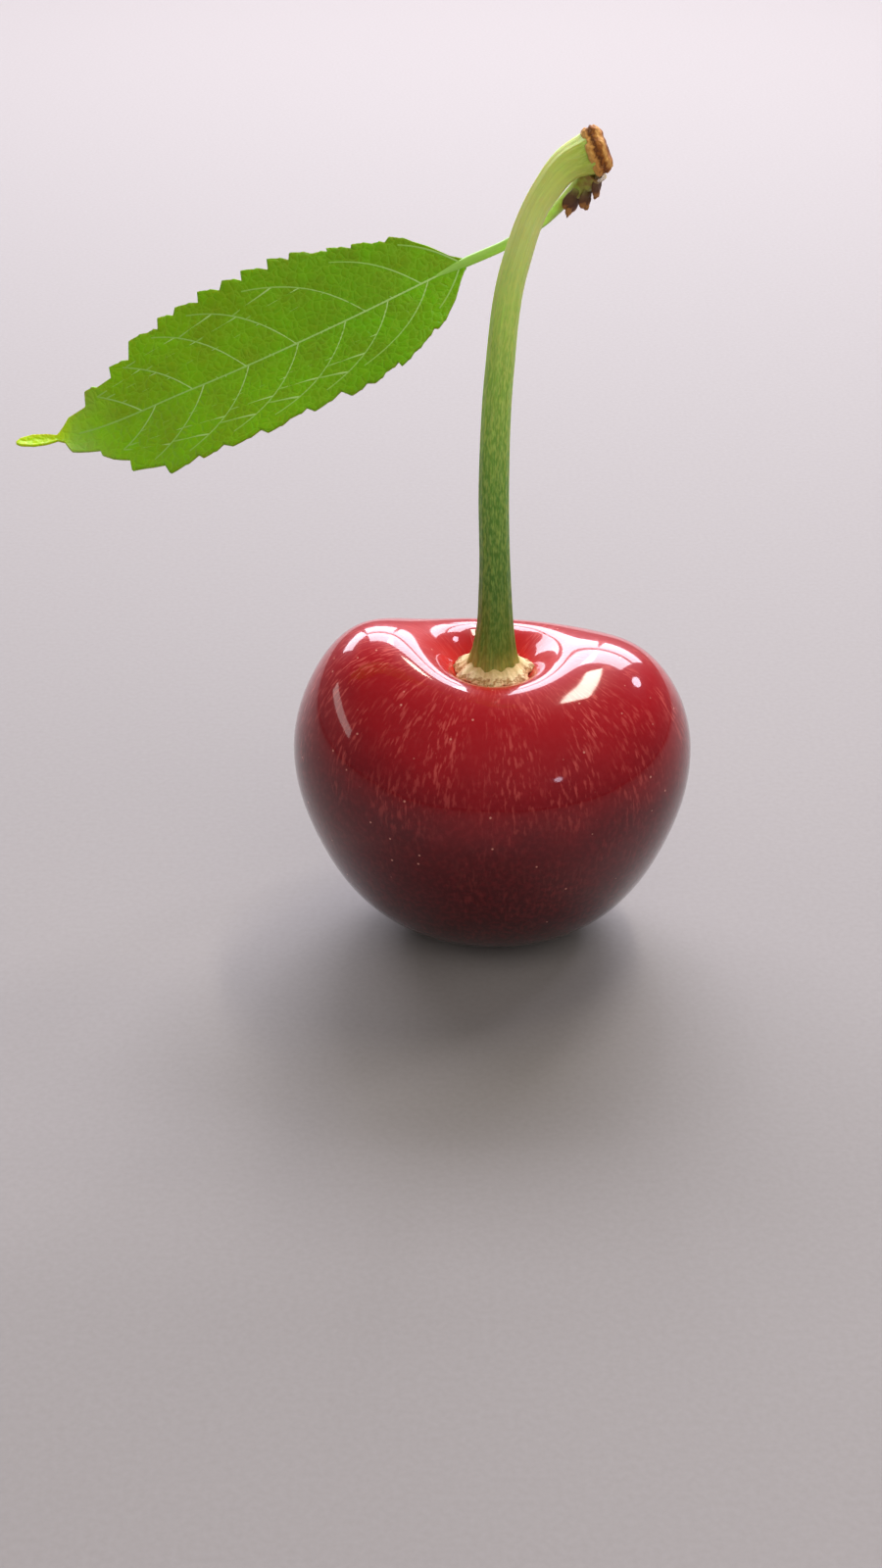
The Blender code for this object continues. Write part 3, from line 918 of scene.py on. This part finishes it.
def vein_course(start, gain, reach, count=26):
    """Share and millimetres across along a vein, which leaves steeply and bends to the tip."""
    bend = gain * LEAF_LENGTH / VEIN_BEND_LENGTH
    course = []
    for i in range(count):
        t = i / (count - 1)
        out = (1 - math.exp(-bend * t)) / (1 - math.exp(-bend))
        course.append((start + gain * t, reach * out))
    return course


vein_courses = [vein_course(*row) for row in UPPER_VEINS]
vein_courses += [vein_course(start, gain, -reach) for start, gain, reach in LOWER_VEINS]
short_courses = [vein_course(*row, count=12) for row in SHORT_VEINS]
sunken = [spot for course in vein_courses for spot in course]
sunken += [(share, 0.0) for share in np.linspace(0, 0.86, 90)]
vein_spots = np.array(sunken) * (LEAF_LENGTH, 1.0)


# A large tooth's hook: how far it leans to the tip, as a share, and stands out in millimetres.
HOOK = (0.005, 0.13)
# On the long side of a large tooth: its bulge, and the small teeth on it, in millimetres.
TOOTH_BULGE, SMALL_TOOTH = 0.05, 0.10
# Shares of the midrib: the most between a tip and its notch, the least along a long side, and
# where the teeth start, the long sides end and the hooks end.
NOTCH_SPAN, LONG_SIDE_SPAN = 0.024, 0.018
TEETH_START, LONG_SIDES_END, HOOKS_END = 0.05, 0.84, 0.89
# A long side drops by fewer millimetres than this.
MOST_DROP = 0.12


def margin_line(rows, steps=8):
    """The toothed edge: each rise carries a small tooth and each large tooth ends in a hook."""
    points = []
    for number, (share, reach) in enumerate(rows):
        next_share, next_reach = rows[min(number + 1, len(rows) - 1)]
        hooked = next_reach < reach and next_share - share < NOTCH_SPAN
        hooked = hooked and TEETH_START < share < HOOKS_END
        points.append((share + HOOK[0], reach + HOOK[1]) if hooked else (share, reach))
    line = []
    for (share, reach), (next_share, next_reach) in zip(points, points[1:]):
        rising = next_reach > reach - MOST_DROP and next_share - share > LONG_SIDE_SPAN
        rising = rising and TEETH_START < share < LONG_SIDES_END
        for i in range(steps):
            t = i / steps
            out = reach + (next_reach - reach) * t
            if rising:
                tooth = TOOTH_BULGE * math.sin(math.pi * t) + SMALL_TOOTH * ((2 * t) % 1.0)
                out += tooth * (1 - max(0.0, (t - 0.5) * 2))
            line.append((share + (next_share - share) * t, out))
    return line + [points[-1]]


# Leaf faces: a fresh thin blade, mid green with paler mottling 2 mm across and a net of veinlets
# 0.5 mm apart, light on the upper face and dark on the lower. The upper face has a soft waxy
# sheen, and the lower one is paler and duller. Towards the twisted tip both faces are paler and
# yellower: a painted sheen and painted light shining through the blade.
def leaf_finish(name, stops, veinlet, dullness):
    """A leaf face coloured along the blade, with mottling and the fine net of veinlets."""
    material, tree, shader = new_material(
        name,
        {"Specular IOR Level": 0.28, "Subsurface Weight": 0.3, "Subsurface Scale": 0.5 * MM},
    )
    place = add(tree, "ShaderNodeAttribute", attribute_name="around").outputs["Vector"]
    along = add(tree, "ShaderNodeAttribute", attribute_name="along").outputs["Fac"]
    ramp = add(tree, "ShaderNodeValToRGB", {"Fac": along}, stops)
    mottle = add(tree, NOISE, {"Vector": place, "Scale": 0.45, "Detail": 5.0})
    mottle_share = add(tree, RAMP, {"Value": mottle, "From Min": 0.35, "From Max": 0.7})
    mottled = add(
        tree,
        MIX,
        {"Factor": mottle_share, "A": ramp, "B": linear("#BCD428")},
        data_type="RGBA",
        blend_type="OVERLAY",
    )
    wobble = add(tree, NOISE, {"Vector": place, "Scale": 2.0, "Detail": 2.0})
    shifted = add(
        tree, VECTOR, {0: wobble.outputs["Color"], 1: (0.35, 0.35, 0.35), 2: place},
        operation="MULTIPLY_ADD",
    )
    net = add(
        tree,
        "ShaderNodeTexVoronoi",
        {"Vector": shifted, "Scale": 1.9},
        feature="DISTANCE_TO_EDGE",
    )
    line = add(tree, RAMP, {"Value": net, "From Min": 0.08, "From Max": 0.0, "To Max": 0.24})
    netted = add(
        tree, MIX, {"Factor": line, "A": mottled, "B": linear(veinlet)}, data_type="RGBA"
    )
    fine = add(tree, NOISE, {"Vector": place, "Scale": 9.0, "Detail": 2.0})
    blister = add(tree, RAMP, {"Value": net, "From Max": 0.25})
    relief = add(tree, MATH, {0: blister, 1: 2.0, 2: fine}, operation="MULTIPLY_ADD")
    dress(tree, shader, netted, relief, 0.5, 0.035, fine, (dullness, dullness + 0.15))
    return material


# Paler and yellower towards the tip: a painted sheen and painted light shining through.
UPPER_FACE_AND_TIP_LIGHT_STOPS = (
    (0.0, "#80AD0F"), (0.25, "#75A404"), (0.5, "#80AD06"), (0.78, "#88B40B"),
    (0.88, "#9CC94A"), (0.93, "#BEDF1A"), (1.0, "#C5E314"),
)
LOWER_FACE_AND_TIP_LIGHT_STOPS = (
    (0.0, "#94BE52"), (0.4, "#8CB84A"), (0.8, "#96C252"), (0.93, "#B8E048"), (1.0, "#C2E83C"),
)
upper_face = leaf_finish("leaf upper face, fresh green", UPPER_FACE_AND_TIP_LIGHT_STOPS, "#A4E03C", 0.34)
lower_face = leaf_finish("leaf lower face, pale matt green", LOWER_FACE_AND_TIP_LIGHT_STOPS, "#6C9440", 0.55)


def thicken(piece, thickness, offset=0.0, lower_material=0):
    """Turn an open sheet into a closed one, a number of millimetres thick."""
    solid = piece.modifiers.new("thickness", "SOLIDIFY")
    solid.thickness = thickness * MM
    solid.offset = offset
    solid.material_offset = lower_material
    keep_plain(piece, solid)


BLADE_COLUMNS = 420
BLADE_HALF_ROWS = 20
# Millimetres that the length counts for while the margins are walked.
WALK_LENGTH = 30
# The blade dips along each vein, by this much and over this width in millimetres.
VEIN_DIP, DIP_WIDTH = 0.06, 0.38


def walked_margin(rows):
    """Evenly spaced points, by distance walked, along a toothed margin."""
    shares, reaches = np.array(margin_line(rows)).T
    steps = np.hypot(np.diff(shares) * WALK_LENGTH, np.diff(reaches))
    lengths = np.concatenate(([0.0], np.cumsum(steps)))
    at = np.arange(BLADE_COLUMNS) / (BLADE_COLUMNS - 1) * lengths[-1]
    return zip(np.interp(at, lengths, shares), np.interp(at, lengths, reaches))


# Both margins are walked together, each at its own pace along its own outline.
blade_points, blade_spots = [], []
for lower, upper in zip(walked_margin(LOWER_MARGIN), walked_margin(UPPER_MARGIN)):
    middle = (lower[0] + upper[0]) / 2
    row, spots = [], []
    for j in range(-BLADE_HALF_ROWS, BLADE_HALF_ROWS + 1):
        side = j / BLADE_HALF_ROWS
        edge_share, edge_reach = lower if side < 0 else upper
        share = float(middle + (edge_share - middle) * abs(side) ** 1.3)
        across_mm = float(side * edge_reach)
        gap = np.min(np.hypot(*(vein_spots - (share * LEAF_LENGTH, across_mm)).T))
        dip = VEIN_DIP * math.exp(-((gap / DIP_WIDTH) ** 2)) * min(1.0, (1 - share) * 8)
        row.append(leaf_place(share, across_mm, BLADE_THICKNESS / 2 - dip))
        spots.append((share * LEAF_LENGTH, across_mm, 0.0))
    blade_points.append(row)
    blade_spots.append(spots)
blade = sheet("leaf_blade", blade_points, upper_face, around=blade_spots)
blade.data.materials.append(lower_face)
thicken(blade, BLADE_THICKNESS, offset=-1.0, lower_material=1)
hand_in(blade, "leaf")

# Veins: pale green cords, sunk in the blade and just proud of its upper face. A ladder of thin
# ones links the side veins. Their skin is pale, smooth and dull.
VEIN_STOPS = ((0.0, "#C0E486"), (0.5, "#A8D668"), (1.0, "#9CCC50"))
vein_finish = grained_finish("pale green leaf vein", VEIN_STOPS, 0.5, 0.3, (0.55, 0.70), 0.02)
# Share of the midrib and its radius there; the other radii, and how far each stands proud.
MIDRIB_RADII = ((0.0, 0.34), (0.12, 0.30), (0.5, 0.24), (0.84, 0.15), (0.9, 0.08))
MIDRIB_PROUD, VEIN_PROUD = 0.055, 0.045
VEIN_RADIUS, SHORT_VEIN_RADIUS, LINK_RADIUS = 0.112, 0.098, 0.093
VEIN_TAPER = 0.014
# Links start at these points of a vein's course, lean in to the next vein, sway and dip.
LINK_STARTS = (7, 12, 18)
LINK_POINTS = 10
LINK_LEAN, LINK_SWAY, LINK_DIP = 0.85, 0.003, 0.055


def cord(spots):
    """Rows for a cord in the blade, from its share, way across, height above and radius."""
    return np.array([(*(leaf_place(*spot) / MM), radius) for *spot, radius in spots])


midrib = []
for share in np.linspace(0.0, MIDRIB_RADII[-1][0], 110):
    radius = float(np.interp(share, *zip(*MIDRIB_RADII)))
    midrib.append((share, 0.0, MIDRIB_PROUD - radius, radius))
vein_rows = [cord(midrib)]
for courses, thick in ((vein_courses, VEIN_RADIUS), (short_courses, SHORT_VEIN_RADIUS)):
    for course in courses:
        radii = [thick - VEIN_TAPER * i / len(course) for i in range(len(course))]
        vein_rows.append(cord([(*at, VEIN_PROUD - r, r) for at, r in zip(course, radii)]))
for side in (vein_courses[: len(UPPER_VEINS)], vein_courses[len(UPPER_VEINS) :]):
    for near, far in zip(side[2:], side[3:]):
        for step in LINK_STARTS:
            s0, a0 = near[step]
            s1, a1 = min(far, key=lambda spot: abs(spot[1] - LINK_LEAN * a0))
            link = []
            for t in np.linspace(0, 1, LINK_POINTS):
                sway = LINK_SWAY * math.sin(math.tau * t) * (1 if step % 2 else -1)
                above = -LINK_DIP + LINK_DIP * math.sin(math.pi * t)
                link.append((s0 + (s1 - s0) * t + sway, a0 + (a1 - a0) * t, above, LINK_RADIUS))
            vein_rows.append(cord(link))
vein_sizes = {"Sides": 10, "Ridges": 1, "Ridge height": 0.0, "Groove": 0.0}
vein_tree = shoot_tree("veins", vein_sizes, vein_finish)
veins = grow("leaf_veins", vein_tree, vein_sizes, guide_lines("vein guide", vein_rows))
hand_in(veins, "leaf")

# Stalk: a green shoot like the stem, grooved along its top. Its foot swells where it joins the
# stem's end, and it runs on into the midrib. Its skin is smooth, with a soft sheen.

# x, y, z from the leaf's lowest corner and radius in millimetres, from the foot to the blade.
STALK_ROWS = (
    (36.08, 5.32, 17.48, 0.92),
    (35.48, 5.62, 16.63, 0.7),
    (34.53, 6.02, 15.63, 0.45),
    (33.13, 6.62, 14.03, 0.35),
    (30.83, 6.92, 12.46, 0.33),
    (28.25, 6.62, 11.38, 0.32),
)
# Along the midrib: share, height above the blade and radius, where the stalk fades into it.
STALK_END = ((0.05, -0.14, 0.22), (0.12, -0.16, 0.12))
STALK_STOPS = (
    (0.0, "#9A7A3A"), (0.10, "#B0B850"), (0.3, "#BCE070"), (0.7, "#A8D858"), (1.0, "#A8DC60"),
)
stalk_finish = grained_finish("green leaf stalk", STALK_STOPS, 0.4, 0.35, (0.38, 0.52), 0.03)
STALK_STATIONS = 120
stalk_sizes = {"Sides": 64, "Ridges": 7, "Ridge height": 0.015, "Groove": 0.28}
stalk_rows = [(*(leaf_corner + Vector(row[:3])), row[3]) for row in STALK_ROWS]
stalk_rows += list(cord([(share, 0.0, up, radius) for share, up, radius in STALK_END]))
stalk_path = smooth_rows(stalk_rows, STALK_STATIONS)
stalk_tree = shoot_tree("stalk", stalk_sizes, stalk_finish)
stalk = grow("leaf_stalk", stalk_tree, stalk_sizes, guide_lines("stalk guide", [stalk_path]))
hand_in(stalk, "leaf")


# ---------------------------------------------------------------------------------------------
# Bud scales: three dried, papery flakes of the bud that the leaf grew from. Each is rooted at the
# foot of the leaf stalk and curls down away from it.

# Dried scale: papery and dull, dark brown with a tan tip that catches the light.
SCALE_STOPS = (
    (0.0, "#8E8A44"), (0.3, "#6C5030"), (0.7, "#5E3A24"), (0.9, "#A87038"), (1.0, "#C08A50"),
)
scale_finish = grained_finish("dried brown bud scale", SCALE_STOPS, 0.25, 0.35, (0.55, 0.80), 0.08)

SCALE_THICKNESS = 0.09
SCALE_ROWS = 25
SCALE_COLUMNS = 17
# How far the tip curls out and the edges curl back, and how deep the crinkles are.
TIP_CURL, EDGE_CURL, CRINKLE = 0.30, 0.22, 0.10
# The share of the width and length that the torn edge varies by.
TATTER_SHARE = 0.35
# Root and tip from the middle of the scale's own box, facing, and width, in millimetres.
BUD_SCALES = (
    ((0.44, 0.14, 1.02), (-0.37, 0.34, -0.38), (0.5, -0.8, -0.4), 1.35),
    ((0.08, 0.05, 0.88), (-0.24, 0.15, -0.27), (0.7, -0.6, -0.3), 1.15),
    ((0.04, -0.0, 1.04), (-0.34, 0.05, -0.41), (0.9, -0.4, -0.2), 1.45),
)
for number, (root, tip, facing, width) in enumerate(BUD_SCALES, 1):
    scale_low, scale_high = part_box(f"bud_scale_{number}")
    middle = (scale_low + scale_high) / (2 * MM)
    root, tip, facing = middle + Vector(root), middle + Vector(tip), Vector(facing).normalized()
    way = tip - root
    side_way = way.cross(facing).normalized()
    out = side_way.cross(way).normalized()
    flake = []
    for i in range(SCALE_ROWS):
        t = i / (SCALE_ROWS - 1)
        half = width / 2 * (0.75 + 0.5 * t) * max(0.0, 1 - t**4) ** 0.5 + 0.02
        row = []
        for j in range(SCALE_COLUMNS):
            side = 2 * j / (SCALE_COLUMNS - 1) - 1
            tear = noise.noise(Vector((side * 2.5, number * 7.3, t * 1.5)))
            ragged = 1 + TATTER_SHARE * t * tear
            curl = TIP_CURL * t * t - EDGE_CURL * side * side * (0.4 + t)
            crinkle = CRINKLE * noise.noise(Vector((side * 2, t * 4, number * 3.1)))
            spot = root + way * t * ragged + side_way * side * half * ragged
            row.append((spot + out * (curl + crinkle)) * MM)
        flake.append(row)
    scale_piece = sheet(f"bud_scale_{number}", flake, scale_finish)
    thicken(scale_piece, SCALE_THICKNESS)
    hand_in(scale_piece, f"bud_scale_{number}")
